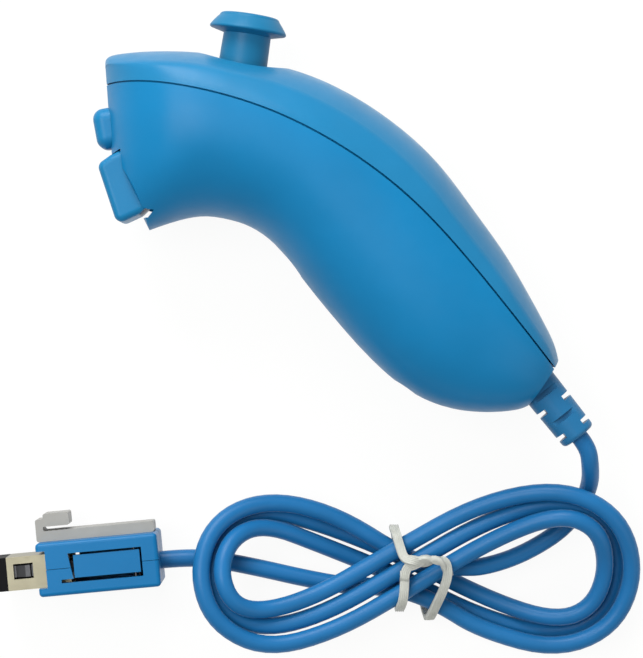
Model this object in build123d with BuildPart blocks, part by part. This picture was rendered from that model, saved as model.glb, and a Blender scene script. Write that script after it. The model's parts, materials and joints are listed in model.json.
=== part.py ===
"""One-handed motion game controller, lying on its side, with its tied cord and its plug.

Millimetres. X runs along the controller from its front end to its tail, Z is up from the
table. The origin is on the table, under the middle of the controller.
"""
import os
from math import asin, cos, pi, radians, sin, sqrt, tan

from build123d import *

os.makedirs("parts", exist_ok=True)

# Handle
MID = 19.1  # height of the handle's middle plane above the table
WALL = 2.0  # thickness of both shells
PARTING_GAP = 0.4  # groove between the shells, seen from outside
TONGUE = 1.3  # height of the lower shell's tongue above the groove
TONGUE_FIT = 0.1  # clearance round the tongue
CREASE_TURN = 15.0  # degrees the surface turns away at the soft crease
FIT = 0.05  # clearance of a running fit, on the radius

# Each row is one cross-section of the handle, from the front end to the tail: the point on
# the thumb side, the point on the finger side, half the width, the depth of the crease below
# the thumb side, and how an inset splits into a shift along the handle and a thinner section.
STATIONS = (
    ((-49.5, 35.0), (-46.6, -3.3), 3.9, 1.2, 0.97, 0.24),
    ((-47.9, 36.1), (-45.2, -2.4), 8.0, 1.8, 0.88, 0.48),
    ((-45.3, 36.5), (-42.9, -1.2), 11.7, 2.3, 0.74, 0.67),
    ((-41.5, 36.8), (-39.4, 0.1), 15.0, 2.6, 0.56, 0.83),
    ((-36.9, 36.9), (-35.6, 1.4), 17.4, 2.9, 0.36, 0.93),
    ((-29.9, 36.6), (-29.9, 2.6), 18.8, 3.3, 0.0, 1.0),
    ((-20.5, 35.3), (-24.5, 2.1), 19.0, 3.9, 0.0, 1.0),
    ((-9.1, 32.6), (-19.5, 0.5), 18.9, 4.5, 0.0, 1.0),
    ((1.3, 28.0), (-14.3, -3.2), 18.6, 4.8, 0.0, 1.0),
    ((11.7, 21.0), (-8.5, -10.4), 18.2, 4.9, 0.0, 1.0),
    ((20.0, 13.1), (-1.8, -18.7), 17.8, 4.9, 0.0, 1.0),
    ((27.3, 3.5), (5.9, -27.2), 17.2, 4.6, 0.0, 1.0),
    ((33.6, -5.4), (14.8, -34.3), 16.0, 4.0, 0.0, 1.0),
    ((38.8, -14.3), (24.6, -37.7), 13.6, 3.2, -0.1, 1.0),
    ((42.3, -20.8), (32.5, -38.0), 10.8, 2.4, -0.3, 1.0),
    ((44.6, -27.2), (38.2, -36.8), 7.2, 1.6, -1.0, 1.0),
)
# Side of a cross-section below the crease: how far down it, and how wide, as shares.
SIDE_SHAPE = ((0.30, 0.985), (0.45, 1.0), (0.65, 0.93), (0.80, 0.78), (0.93, 0.5))
# Share of the way round the side at each of its points, from the finger side up, alike in
# every cross-section, so that the surface between them is even.
SIDE_PACE = (0.0, 0.21, 0.38, 0.52, 0.69, 0.82, 0.96, 1.0)
CREASE_AT = 0.79  # share of the half width where the crease runs
CREASE_SOFT = 0.12  # share of the half width over which the crease turns

# The parting line, seen from the side
PARTING = (
    (-54.0, 29.2),
    (-44.5, 30.1),
    (-32.0, 28.7),
    (-17.0, 24.6),
    (-2.0, 17.4),
    (13.0, 6.5),
    (28.0, -9.6),
    (43.0, -28.0),
    (50.0, -36.4),
)
PARTING_UP = Vector(0.5, 0.866, 0)  # mean direction from the lower shell to the upper one
REACH = 60.0  # half size of the blocks that cut the handle

# The chin is the rounded face under the front end, where the trigger comes out
CHIN_POINT = Vector(-48.2, 15.4, MID)
CHIN_UP = Vector(-0.447, 0.894, 0)
CHIN_RADIUS = 38.0

# Thumbstick, on an axis that leans towards the tail
STICK_AXIS = Vector(0.148, 0.989, 0)
STICK_ACROSS = Vector(0.989, -0.148, 0)
STICK_HOLE = Vector(-20.84, 35.17, MID)  # where the axis leaves the shell
STICK_DEPTH = 11.0  # from the shell's surface down to the pivot
HOLE_RADIUS = 10.0
GATE_FLATS = 17.4  # across the flats of the octagonal opening
GATE_TOP = -3.0  # heights measured from the shell's surface, along the axis
GATE_FLANGE_TOP = -4.2
GATE_BOTTOM = -4.9
GATE_FLANGE_RADIUS = 10.6
DOME_RADIUS = 10.25  # dust skirt, centred on the pivot
DOME_WALL = 0.8
DOME_ANGLE = 60.0
STEM_RADIUS = 5.1
STEM_TOP_RADIUS = 4.95
CAP_RIM_RADIUS = 7.95
CAP_TOP_RADIUS = 6.0
SHAFT_RADIUS = 1.3
MODULE_HALF = 5.6  # half the side of the metal frame
MODULE_WALL = 0.6
MODULE_TOP = 4.5  # heights measured from the pivot, along the axis
MODULE_BOTTOM = -5.6
BASE_THICK = 0.6
AXLE_RADIUS = 0.9
POT_DEPTH = 3.3
POT_HALF = 4.6
POT_TOP = 0.6
POT_BOTTOM = -5.2

POT_RIM = 0.8
AXLE_IN_POT = 1.8
MODULE_LID = 0.5
MODULE_HOLE = 4.2
CAP_FLOOR = 17.0
CAP_DISH = 19.0
CAP_TOP = 20.3
CAP_RIM = 17.2
CAP_RING_IN = 4.6
CAP_RING_RISE = 0.9
CAP_LIP = 0.3
CAP_SAG = 0.25
CAP_SLOPE = 0.6
STEM_TOP = 16.2
FOOT_RADIUS = 1.0
FOOT_LENGTH = 2.9
HUB_RADIUS = 1.5
HUB_HALF = 1.2
CROSS_PIN_RADIUS = 0.6
YOKE_HALF = 2.75
YOKE_HALF_SIDE = 2.5
YOKE_HALF_HIGH = 1.3
YOKE_ROUND = 0.4
YOKE_SLOT = 1.95
YOKE_PLAY = 0.15
ARC_OUT = 4.0
ARC_IN = 3.3
ARC_RAIL = 2.3
ARC_SIDE = 4.8
ARC_CHEEK = 0.7
ARC_EYE = 0.8
ARC_SLOT = 3.2
ARC_PLAY = 0.18
SPRING_RADIUS = 2.4  # of the middle of its wire
SPRING_WIRE = 0.5
SPRING_TURNS = 2
SPRING_RISE = 1.15
SEAT_HIGH = 0.5
CUP_LOW = -3.9
CUP_THICK = 0.7
CUP_RADIUS = 3.0

# Buttons at the front
BUTTON_FACE = Vector(-49.9, 20.6, MID)
BUTTON_OUT = Vector(-0.984, -0.179, 0)
BUTTON_WIDE = 9.6
BUTTON_TALL = 8.5
BUTTON_CORNER = 2.5
BUTTON_PROUD = 1.7
BUTTON_TRAVEL = 1.0
HOLE_GAP = 0.3  # gap round the buttons in the shell
FLANGE_DEPTH = 3.7
FLANGE_THICK = 1.0
FLANGE_SIDE = 1.4
TRIGGER_HALF = 8.5
TRIGGER_PIVOT = Vector(-42.4, 15.0, MID)
TRIGGER_OUTLINE = (
    (-50.8, 13.1),
    (-48.1, 15.0),
    (-46.0, 16.0),
    (-43.5, 17.0),
    (-40.3, 14.6),
    (-37.9, 7.2),
    (-40.6, 4.4),
    (-42.2, 2.8),
    (-46.7, 0.7),
)
TRIGGER_ROUND = 1.6
TRIGGER_EDGE = 1.4
TRIGGER_FRONT = -46.0  # the shown edges lie in front of this
TRIGGER_STOP = ((6.5, 4.0), (9.5, 4.0), (9.5, 5.1), (6.5, 5.1))  # down the chin, and deep
TRIGGER_STOP_SIDE = 0.7  # how far the stop reaches past each side of the trigger
TRIGGER_HUB = 2.2
TRIGGER_SWITCH_Y = 9.5
TRIGGER_NUB_X = -39.6
PIN_RADIUS = 0.9
PIN_HALF = 11.0
PIN_BOSS = 1.2  # wall round each end of the pin
STEM_HALF = 1.8  # radius of the stems that press the domes
SWITCH_BOARD_X = -34.0  # front face of the board behind the buttons
SWITCH_BOARD_LOW = 6.4
SWITCH_BOARD_HIGH = 27.5
SWITCH_BOARD_HALF = 9.6
BOARD_THICK = 1.2
DOME_HIGH = 1.6
DOME_BASE = 3.0
DOME_GAP = 0.1
BUTTON_ROUND = 2.2

# Main board, square to the stick's axis
BOARD_START = -9.3
BOARD_END = 30.0
BOARD_HALF = 12.0
POST_RADIUS = 2.2
POSTS = ((-7.0, 9.0), (-7.0, -9.0), (24.0, 8.5), (24.0, -8.5))  # along the board, to its side
BOARD_SCREWS = (POSTS[1], POSTS[2])
BOARD_SCREW_RADIUS = 0.8
BOARD_SCREW_LENGTH = 5.0
BOARD_SCREW_HEAD = 1.7
BOARD_CORNER = 1.0
CHIP_EDGE = 0.2
# place along and beside the board, then length, width and height
CHIPS = {
    "motion_sensor_chip": (12.2, 6.5, 4.0, 5.0, 1.2),
    "controller_chip": (23.0, -1.2, 5.8, 7.4, 1.1),
    "wire_connector": (28.0, 4.5, 3.4, 7.0, 2.6),
}
SMALL_PARTS = (15.0, -8.0)
SMALL_PART = (1.6, 0.8, 0.7)
LINK_PINS = 6
LINK_PITCH = 2.0
LINK_PIN = 0.3  # radius
LINK_LENGTH = 4.0
RIB_WALL = 1.2
SWITCH_RIB = 10.1

# Opening of the trigger in the chin, seen from the side
TRIGGER_OPENING = (
    (-56.0, 11.6),
    (-43.0, 17.7),
    (-36.3, 8.0),
    (-38.9, 3.9),
    (-40.4, 2.2),
    (-56.0, 1.0),
)

# Shell screws: where each axis meets the finger side, which way it runs, and how far along
# it the two shells meet
SCREWS = (
    (Vector(-10.5, -7.6, MID), Vector(0.148, 0.989, 0), 19.0),
    (Vector(12.6, -33.2, MID), Vector(0.545, 0.838, 0), 19.0),
)
SCREW_SLOT = 0.6
WELL_RADIUS = 2.6
WELL_DEPTH = 13.0
BOSS_RADIUS = 3.8
UPPER_BOSS_RADIUS = 2.8
SCREW_RADIUS = 0.85
SCREW_LENGTH = 10.0
SCREW_HEAD_RADIUS = 2.0
SCREW_HEAD_THICK = 1.6
LOOSE = 0.25  # clearance of a screw in its through hole

# Cord and strain relief
CORD = 3.7  # diameter
RELIEF_POINT = Vector(40.83, -32.97, MID)  # where its axis leaves the tail
RELIEF_AXIS = Vector(0.6248, -0.7808, 0)
RELIEF_LENGTH = 13.0
RELIEF_RADIUS = 4.1
RELIEF_END_RADIUS = 3.85
RELIEF_CORES = (2.9, 2.2)  # half of what the slots leave, of one pair of sides and the other
RELIEF_INSIDE = 3.4
RELIEF_SLOTS = 4
RELIEF_FIRST = 1.4
RELIEF_PITCH = 3.15
RELIEF_SLOT = 1.1
RELIEF_ROUND = 0.9
RELIEF_FLANGE_RADIUS = 5.0
RELIEF_FLANGE = 1.5
INNER_CABLE = 5.0
WIRES = 4
WIRE_RADIUS = 0.5
WIRE_PITCH = 1.6
WIRE_BUNDLE = 1.5
WIRE_STRAIGHT = 4.0
WIRE_TURN = 2.5
WIRE_BENDS = (Vector(27.5, -13.0, 27.0), Vector(15.5, 5.5, 26.5))

# Cord, from the strain relief to the hank, and from the hank to the plug
LEAD_START = 3.0  # straight length out of the strain relief
LEAD_ROUTE = (
    (51.5, -49.2, 17.0),
    (51.9, -53.2, 12.0),
    (50.4, -57.8, 8.1),
    (46.4, -63.4, 6.8),
    (37.8, -68.6, 6.9),
    (29.6, -71.2, 7.25),
)
PLUG_LEAD_ROUTE = (
    (-1.0, -74.85, 7.25),
    (-9.0, -73.3, 7.6),
    (-17.5, -71.3, 8.2),
    (-26.4, -69.5, 8.9),
)
PLUG_LEAD_END = 6.0
BEND = 0.45  # share of the shorter run that an arc takes

# Hank of six half loops. Each side has a reach and its rise above and below the waist.
WAIST = Vector(12.4, -71.3, 0)
HANK_SIDES = ((39.5, 23.0, 23.6), (46.0, 28.0, 27.2))
STEPS = 8
# One row for each half loop, left and right by turns, and in it one pair for each step: how
# far the strand lies to the left of the middle one, and its height
HANK_ROWS = (
    ((-2.1, 7.25), (-3.2, 7.6), (-2.5, 9.6), (-2.4, 14.0),
     (-2.3, 17.9), (-2.7, 17.0), (-4.0, 14.0), (-4.2, 12.4)),
    ((-4.2, 11.5), (-4.0, 13.5), (-2.7, 17.0), (-2.4, 16.6),
     (-3.1, 10.5), (-3.1, 7.5), (-3.2, 6.8), (-3.3, 3.6)),
    ((-2.1, 3.1), (0.0, 3.3), (0.0, 5.5), (0.0, 9.9),
     (0.0, 14.0), (0.0, 13.1), (0.0, 12.0), (0.0, 11.7)),
    ((0.0, 11.5), (0.0, 11.9), (0.0, 13.4), (0.0, 12.6),
     (0.0, 6.9), (0.0, 3.8), (0.0, 3.1), (0.9, 3.1)),
    ((2.1, 3.1), (4.25, 4.4), (2.8, 9.2), (2.4, 14.0),
     (2.3, 17.9), (2.7, 17.0), (4.0, 14.0), (4.2, 12.4)),
    ((4.2, 11.5), (4.0, 13.5), (2.7, 17.2), (2.4, 17.0),
     (3.1, 10.5), (3.1, 7.5), (3.0, 7.2), (3.0, 7.25)),
)
HANK_IN = ((24.8, -71.2, 7.25), (20.6, -71.2, 7.25))
HANK_OUT = ((20.5, -79.0, 7.25), (13.0, -76.0, 7.25), (7.4, -75.35, 7.25), (3.2, -75.1, 7.25))
CHECKS = 10  # points on each arc for the measured gap
APART = 12.0  # shortest length of cord between two points that are compared

# Plug, standing on its narrow side. Along it, x grows towards the cord.
PLUG = Vector(-51.1, -69.9, 0)
PLUG_BACK = Vector(0.9957, 0.0925, 0).normalized()
PLUG_LENGTH = 25.4
PLUG_THICK = 11.2
PLUG_WIDE = 20.0
PLUG_WALL = 1.5
PLUG_ROUND = 0.8
PLUG_SEAM = 0.05  # half the gap between the two halves
PLUG_CORD_SIDE = -0.7
PLUG_CORD_IN = 4.5
COLLAR = 1.9  # how far the two broad sides reach past the front
COLLAR_HALF = 3.9
WINDOW = ((-6.1, 3.05), (9.24, 3.05), (9.24, -3.05), (-7.8, -3.05), (-7.8, -2.3), (-5.3, -2.3))
LATCH_FRONT = -5.0
LATCH_BACK = 8.8
LATCH_SIDE = 0.2
LATCH_HALF = 2.35
LATCH_TOP = 9.7  # heights from the plug's middle
LATCH_LOW = 8.1
LATCH_PIVOT = (7.6, 7.4)
LATCH_BARREL = 0.85
LATCH_PIN = 0.4
LATCH_PIN_HALF = 4.6
ARM = (
    (6.0, 8.1),
    (-3.6, 8.1),
    (-5.4, 5.6),
    (-14.2, 5.6),
    (-14.4, 6.6),
    (-15.4, 6.6),
    (-17.4, 5.6),
    (-18.6, 5.6),
    (-18.6, 5.1),
    (-5.7, 5.1),
    (-3.9, 7.6),
    (6.0, 7.6),
)
ARM_HALF = 1.2
SHROUD_SIDE = -0.4
SHROUD_THICK = 7.0
SHROUD_WIDE = 12.6
SHROUD_WALL = 0.4
SHROUD_FRONT = -19.3
SHROUD_BACK = -6.0
SHROUD_WINDOW = (-17.9, -13.8)
SHROUD_WINDOW_HALF = 1.6
TIP_FRONT = -21.9
TIP_CORE = 3.0
TIP_THIN = 2.2
TIP_SLOT = 0.9
TIP_SLOT_BACK = -9.0
CONTACTS = 6
CONTACT_PITCH = 0.8
CONTACT_WIDE = 0.45
CONTACT_THICK = 0.3
HOOK_OUTLINE = (
    (-12.7, 5.6),
    (12.0, 5.6),
    (12.0, 7.8),
    (-5.6, 7.8),
    (-11.2, 7.8),
    (-11.2, 8.7),
    (-5.6, 8.7),
    (-5.6, 11.4),
    (-11.0, 11.4),
    (-11.0, 10.3),
    (-12.7, 10.3),
)
HOOK_ROUND = 0.42
HOOK_HALF = 4.4
HOOK_PEGS = (-4.0, 6.0)
HOOK_PEG = 0.9

# Twist tie: a band round the waist, a second one beside it, and the twisted ends on top
TIE_THICK = 0.9
TIE_HALF = 1.2
TIE_X = 12.2
TIE_INSIDE = (
    (-63.7, 4.7),
    (-63.7, 12.5),
    (-64.85, 13.65),
    (-78.25, 13.65),
    (-79.55, 12.35),
    (-79.55, 5.45),
    (-75.17, 1.05),
    (-67.33, 1.05),
)
TIE_SECOND_X = 18.7
TIE_SECOND = (
    (-69.5, 14.35),
    (-72.5, 14.35),
    (-78.0, 11.25),
    (-80.7, 8.5),
    (-81.2, 7.75),
    (-81.2, 3.9),
    (-78.4, 1.05),
    (-70.0, 1.05),
    (-70.0, 0.15),
    (-78.8, 0.15),
    (-82.1, 3.5),
    (-82.1, 8.0),
    (-81.5, 9.0),
    (-78.6, 12.0),
    (-72.8, 15.25),
    (-69.5, 15.25),
)
TIE_LINK_Y = -72.0
TIE_LINK_TOP = 1.05
TIE_TWIST = (-70.6, 15.5)


def station_frame(top_xy, base_xy, inset, shift):
    """Plane of a cross-section, at its thumb-side point, and its height there."""
    top = Vector(top_xy[0], top_xy[1], MID)
    base = Vector(base_xy[0], base_xy[1], MID)
    down = (base - top).normalized()
    along = Vector(0, 0, 1).cross(down)
    origin = top + down * inset + along * (inset * shift)
    return Plane(origin=origin, x_dir=(0, 0, 1), z_dir=-along), (base - top).length - 2 * inset


def handle_form(inset):
    """The whole handle as one solid, drawn in by the inset all round."""
    with BuildPart() as form:
        for top_xy, base_xy, half_width, crease, shift, shrink in STATIONS:
            plane, tall = station_frame(top_xy, base_xy, inset, shift)
            half = half_width - inset * shrink
            crease_x = CREASE_AT * half
            crease_y = crease * tall / (tall + 2 * inset)
            crown = (crease_x**2 + crease_y**2) / (2 * crease_y)
            slope = asin(min(crease_x / crown, 1.0))
            turned = slope + radians(CREASE_TURN)
            soft = CREASE_SOFT * half
            side = [Vector(0, -tall)]
            side += [Vector(-wide * half, -low * tall) for low, wide in reversed(SIDE_SHAPE)]
            side.append(Vector(-crease_x - soft * cos(turned), -crease_y - soft * sin(turned)))
            side.append(Vector(-crease_x, -crease_y))
            with BuildSketch(plane):
                with BuildLine():
                    ThreePointArc((-crease_x, -crease_y), (0, 0), (crease_x, -crease_y))
                    left = Edge.make_spline(
                        side,
                        tangents=[Vector(-1, 0), Vector(cos(slope), sin(slope))],
                        parameters=SIDE_PACE,
                    )
                    add([left, left.mirror(Plane.YZ)])
                make_face()
        loft()
        chin_in = CHIN_UP.cross(Vector(0, 0, 1))
        centre = CHIN_POINT + chin_in * CHIN_RADIUS
        chin = Plane(origin=centre, x_dir=-chin_in, z_dir=CHIN_UP)
        with BuildSketch(chin):
            with Locations((REACH / 2, 0)):
                Rectangle(REACH, REACH)
            Circle(CHIN_RADIUS - inset, mode=Mode.SUBTRACT)
        extrude(amount=REACH / 2, both=True, mode=Mode.SUBTRACT)
    return form.part


def side_block(shift, above):
    """Everything on one side of the parting line moved up by the shift."""
    points = [Vector(x, y, 0) + PARTING_UP * shift for x, y in PARTING]
    first, last = points[0], points[-1]
    far = REACH if above else -REACH
    with BuildPart() as block:
        with BuildSketch():
            with BuildLine():
                Spline(*points)
                Polyline(last, (last.X + REACH, last.Y), (last.X + REACH, far * 2),
                         (first.X - REACH, far * 2), (first.X - REACH, first.Y), first)
            make_face()
        extrude(amount=REACH, both=True)
    return block.part


def finish(builder, name):
    """Names a sub-part and writes its file."""
    builder.part.label = name
    export_step(builder.part, f"parts/{name}.step")


outer_form = handle_form(0)
inner_form = handle_form(WALL)
tongue_form = handle_form(WALL / 2)
rebate_form = handle_form(WALL / 2 - TONGUE_FIT)
stick_pivot = STICK_HOLE - STICK_AXIS * STICK_DEPTH
hole_plane = Plane(origin=STICK_HOLE, x_dir=STICK_ACROSS, z_dir=STICK_AXIS)
pivot_plane = Plane(origin=stick_pivot, x_dir=STICK_ACROSS, z_dir=STICK_AXIS)
# In the axial plane, x runs across the stick and y along its axis
axial_plane = Plane(origin=stick_pivot, x_dir=STICK_ACROSS, z_dir=(0, 0, 1))
button_plane = Plane(origin=BUTTON_FACE, x_dir=(0, 0, 1), z_dir=BUTTON_OUT)
relief_plane = Plane(origin=RELIEF_POINT, x_dir=(0, 0, 1), z_dir=RELIEF_AXIS)
pin_plane = Plane(origin=TRIGGER_PIVOT)


def board_frame(x, side, height):
    """Plane parallel to the main board: x along the handle, height above the stick's pivot."""
    origin = stick_pivot + STICK_ACROSS * x + STICK_AXIS * height + Vector(0, 0, side)
    return Plane(origin=origin, x_dir=STICK_ACROSS, z_dir=STICK_AXIS)


def chin_at(down, depth):
    """Point of the middle plane, down the chin from its top and in from its surface."""
    point = CHIN_POINT - CHIN_UP * down + CHIN_UP.cross(Vector(0, 0, 1)) * depth
    return (point.X, point.Y)


def arc_route(points, headings):
    """Adds a line, then two arcs from each point to the next along the headings, then a line."""
    headings = [heading.normalized() for heading in headings]
    Line(points[0], points[1])
    for start, end, leaving, arriving in zip(points[1:], points[2:-1], headings, headings[1:]):
        chord = end - start
        both = leaving + arriving
        bend = 2 * (1 - leaving.dot(arriving))
        ahead = (sqrt(chord.dot(both) ** 2 + bend * chord.dot(chord)) - chord.dot(both)) / bend
        first, last = start + leaving * ahead, end - arriving * ahead
        middle = (first + last) / 2
        TangentArc(start, middle, tangent=leaving)
        TangentArc(middle, end, tangent=last - first)
    Line(points[-2], points[-1])


upper_side = side_block(-PARTING_GAP, above=True)
board_top = MODULE_BOTTOM - BASE_THICK
board_low = board_top - BOARD_THICK
screw_x = (SCREWS[0][0] - stick_pivot).dot(STICK_ACROSS)

# Lower shell, on the finger side: bosses, posts, seats of the trigger's pin and the ribs
# of the button board stay when the cavity is cut
with BuildPart() as lower_inside:
    for foot, way, split in SCREWS:
        with BuildSketch(Plane(origin=foot, z_dir=way)):
            Circle(BOSS_RADIUS)
        extrude(amount=split)
    for x, side in POSTS:
        with BuildSketch(board_frame(x, side, board_low)):
            Circle(POST_RADIUS)
        extrude(amount=-REACH / 2)
    for end in (-1, 1):
        with BuildSketch(Plane.XY.offset(MID + end * (SWITCH_BOARD_HALF - RIB_WALL))):
            with Locations((SWITCH_BOARD_X + BOARD_THICK / 2, SWITCH_BOARD_LOW + SWITCH_RIB / 2)):
                Rectangle(BOARD_THICK + 2 * RIB_WALL, SWITCH_RIB + 2 * RIB_WALL)
        extrude(amount=end * REACH / 4)
        with BuildSketch(pin_plane.offset(end * (TRIGGER_HALF + HOLE_GAP))):
            Circle(PIN_RADIUS + PIN_BOSS)
        extrude(amount=end * REACH / 4)

with BuildPart() as lower_cavity:
    add(inner_form)
    add(lower_inside.part, mode=Mode.SUBTRACT)

with BuildPart() as lower_cuts:
    # wells and through holes of the two shell screws
    for foot, way, split in SCREWS:
        with BuildSketch(Plane(origin=foot - way * WALL, z_dir=way)):
            Circle(WELL_RADIUS)
        extrude(amount=WELL_DEPTH + WALL)
        with BuildSketch(Plane(origin=foot, z_dir=way)):
            Circle(SCREW_RADIUS + LOOSE)
        extrude(amount=split + WALL)
    # pilot holes of the board screws
    for x, side in BOARD_SCREWS:
        with BuildSketch(board_frame(x, side, board_low)):
            Circle(BOARD_SCREW_RADIUS + FIT / 2)
        extrude(amount=-BOARD_SCREW_LENGTH - FIT)
    # slots that hold the board behind the buttons
    with BuildSketch(Plane.XY.offset(MID)):
        with Locations((SWITCH_BOARD_X + BOARD_THICK / 2, (SWITCH_BOARD_LOW + SWITCH_BOARD_HIGH) / 2)):
            Rectangle(BOARD_THICK + TONGUE_FIT, SWITCH_BOARD_HIGH - SWITCH_BOARD_LOW)
    extrude(amount=SWITCH_BOARD_HALF + FIT, both=True)
    # opening of the small button
    with BuildSketch(button_plane.offset(-FLANGE_DEPTH - FLANGE_THICK - BUTTON_TRAVEL - HOLE_GAP)):
        RectangleRounded(BUTTON_WIDE + 2 * HOLE_GAP, BUTTON_TALL + 2 * HOLE_GAP, BUTTON_CORNER)
    extrude(amount=FLANGE_DEPTH + FLANGE_THICK + BUTTON_TRAVEL + 2 * BUTTON_PROUD)
    with BuildSketch(button_plane.offset(-FLANGE_DEPTH + HOLE_GAP)):
        Rectangle(BUTTON_WIDE + 2 * FLANGE_SIDE + 2 * HOLE_GAP, BUTTON_TALL + 2 * HOLE_GAP)
    extrude(amount=-FLANGE_THICK - BUTTON_TRAVEL - 2 * HOLE_GAP)
    # opening of the trigger, and the seats of its pin
    with BuildSketch(Plane.XY.offset(MID)):
        Polygon(*TRIGGER_OPENING, align=None)
    extrude(amount=TRIGGER_HALF + HOLE_GAP, both=True)
    with BuildSketch(pin_plane):
        Circle(PIN_RADIUS)
    extrude(amount=PIN_HALF, both=True)
    # way out of the strain relief, and the seat of its flange
    with BuildSketch(relief_plane.offset(-RELIEF_INSIDE)):
        Circle(RELIEF_RADIUS + FIT)
    extrude(amount=3 * RELIEF_INSIDE)
    with BuildSketch(relief_plane.offset(-RELIEF_INSIDE + FIT)):
        Circle(RELIEF_FLANGE_RADIUS + FIT)
    extrude(amount=-RELIEF_FLANGE - 2 * FIT)

with BuildPart() as tongue:
    add(tongue_form)
    add(side_block(TONGUE, above=True), mode=Mode.SUBTRACT)

with BuildPart() as lower_shell:
    add(outer_form)
    add(upper_side, mode=Mode.SUBTRACT)
    add(tongue.part)
    add([lower_cavity.part, lower_cuts.part], mode=Mode.SUBTRACT)
finish(lower_shell, "lower_shell")

# Upper shell, on the thumb side
with BuildPart() as rebate:
    add(rebate_form)
    add(side_block(TONGUE + TONGUE_FIT, above=True), mode=Mode.SUBTRACT)

with BuildPart() as upper_bosses:
    for foot, way, split in SCREWS:
        with BuildSketch(Plane(origin=foot + way * (split + TONGUE_FIT), z_dir=way)):
            Circle(UPPER_BOSS_RADIUS)
        extrude(amount=REACH / 2)
    add(tongue_form, mode=Mode.INTERSECT)

with BuildPart() as upper_cuts:
    with BuildSketch(hole_plane):
        Circle(HOLE_RADIUS)
    extrude(amount=HOLE_RADIUS, both=True)
    for foot, way, split in SCREWS:
        with BuildSketch(Plane(origin=foot + way * WELL_DEPTH, z_dir=way)):
            Circle(SCREW_RADIUS)
        extrude(amount=SCREW_LENGTH)

with BuildPart() as upper_shell:
    add(outer_form)
    add(side_block(0, above=True), mode=Mode.INTERSECT)
    add([inner_form, rebate.part], mode=Mode.SUBTRACT)
    add(upper_bosses.part)
    add(upper_cuts.part, mode=Mode.SUBTRACT)
finish(upper_shell, "upper_shell")

with BuildPart() as shell_screws:
    for foot, way, split in SCREWS:
        with BuildSketch(Plane(origin=foot + way * WELL_DEPTH, z_dir=way)):
            Circle(SCREW_HEAD_RADIUS)
        extrude(amount=-SCREW_HEAD_THICK)
        with BuildSketch(Plane(origin=foot + way * WELL_DEPTH, z_dir=way)):
            Circle(SCREW_RADIUS)
        extrude(amount=SCREW_LENGTH)
        with BuildSketch(Plane(origin=foot + way * (WELL_DEPTH - SCREW_HEAD_THICK), z_dir=way)):
            Rectangle(SCREW_HEAD_RADIUS * 1.4, SCREW_SLOT)
            Rectangle(SCREW_SLOT, SCREW_HEAD_RADIUS * 1.4)
        extrude(amount=SCREW_HEAD_THICK / 2, mode=Mode.SUBTRACT)
finish(shell_screws, "shell_screws")

# Octagonal gate round the thumbstick, set in the upper shell
with BuildPart() as stick_gate_ring:
    with BuildSketch(hole_plane.offset(GATE_BOTTOM)):
        Circle(HOLE_RADIUS - TONGUE_FIT)
    extrude(amount=GATE_TOP - GATE_BOTTOM)
    with BuildSketch(hole_plane.offset(GATE_BOTTOM)):
        Circle(GATE_FLANGE_RADIUS)
    extrude(amount=GATE_FLANGE_TOP - GATE_BOTTOM)
    with BuildSketch(hole_plane.offset(GATE_BOTTOM)):
        RegularPolygon(GATE_FLATS / 2, 8, major_radius=False)
    extrude(amount=GATE_TOP - GATE_BOTTOM, mode=Mode.SUBTRACT)
finish(stick_gate_ring, "stick_gate_ring")

# Thumbstick cap, turned about the stick's axis: dished top, rim, stem and dust skirt
skirt_out = (DOME_RADIUS * sin(radians(DOME_ANGLE)), DOME_RADIUS * cos(radians(DOME_ANGLE)))
dome_in = DOME_RADIUS - DOME_WALL
skirt_in = (dome_in * sin(radians(DOME_ANGLE)), dome_in * cos(radians(DOME_ANGLE)))
stem_foot = sqrt(DOME_RADIUS**2 - STEM_RADIUS**2)
bore = SHAFT_RADIUS + FIT / 2
bore_foot = sqrt(dome_in**2 - bore**2)

# Corners of the cap's profile: distance from the axis, and height over the pivot
ring_inner = (CAP_RING_IN, CAP_DISH + CAP_RING_RISE)
ring_outer = (CAP_TOP_RADIUS + CAP_LIP, CAP_TOP - 2 * CAP_LIP)
rim_top = (CAP_RIM_RADIUS, CAP_RIM + CAP_LIP)
rim_low = (CAP_RIM_RADIUS - CAP_LIP, CAP_RIM - CAP_LIP)
with BuildPart() as stick_cap:
    with BuildSketch(axial_plane):
        with BuildLine():
            Polyline((0, CAP_FLOOR), (0, CAP_DISH))
            ThreePointArc((0, CAP_DISH), (CAP_RING_IN / 2, CAP_DISH + CAP_SAG), ring_inner)
            ThreePointArc(ring_inner, (CAP_TOP_RADIUS - CAP_SAG, CAP_TOP), ring_outer)
            ThreePointArc(ring_outer, (CAP_RIM_RADIUS - CAP_SLOPE, CAP_RIM + 2 * CAP_SLOPE), rim_top)
            ThreePointArc(rim_top, (CAP_RIM_RADIUS + FIT, CAP_RIM), rim_low)
            Polyline(rim_low, (STEM_TOP_RADIUS, STEM_TOP), (STEM_RADIUS, stem_foot))
            RadiusArc((STEM_RADIUS, stem_foot), skirt_out, DOME_RADIUS)
            Line(skirt_out, skirt_in)
            RadiusArc(skirt_in, (bore, bore_foot), -dome_in)
            Polyline((bore, bore_foot), (bore, CAP_FLOOR), (0, CAP_FLOOR))
        make_face()
    revolve(axis=Axis(stick_pivot, STICK_AXIS))
finish(stick_cap, "stick_cap")

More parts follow.
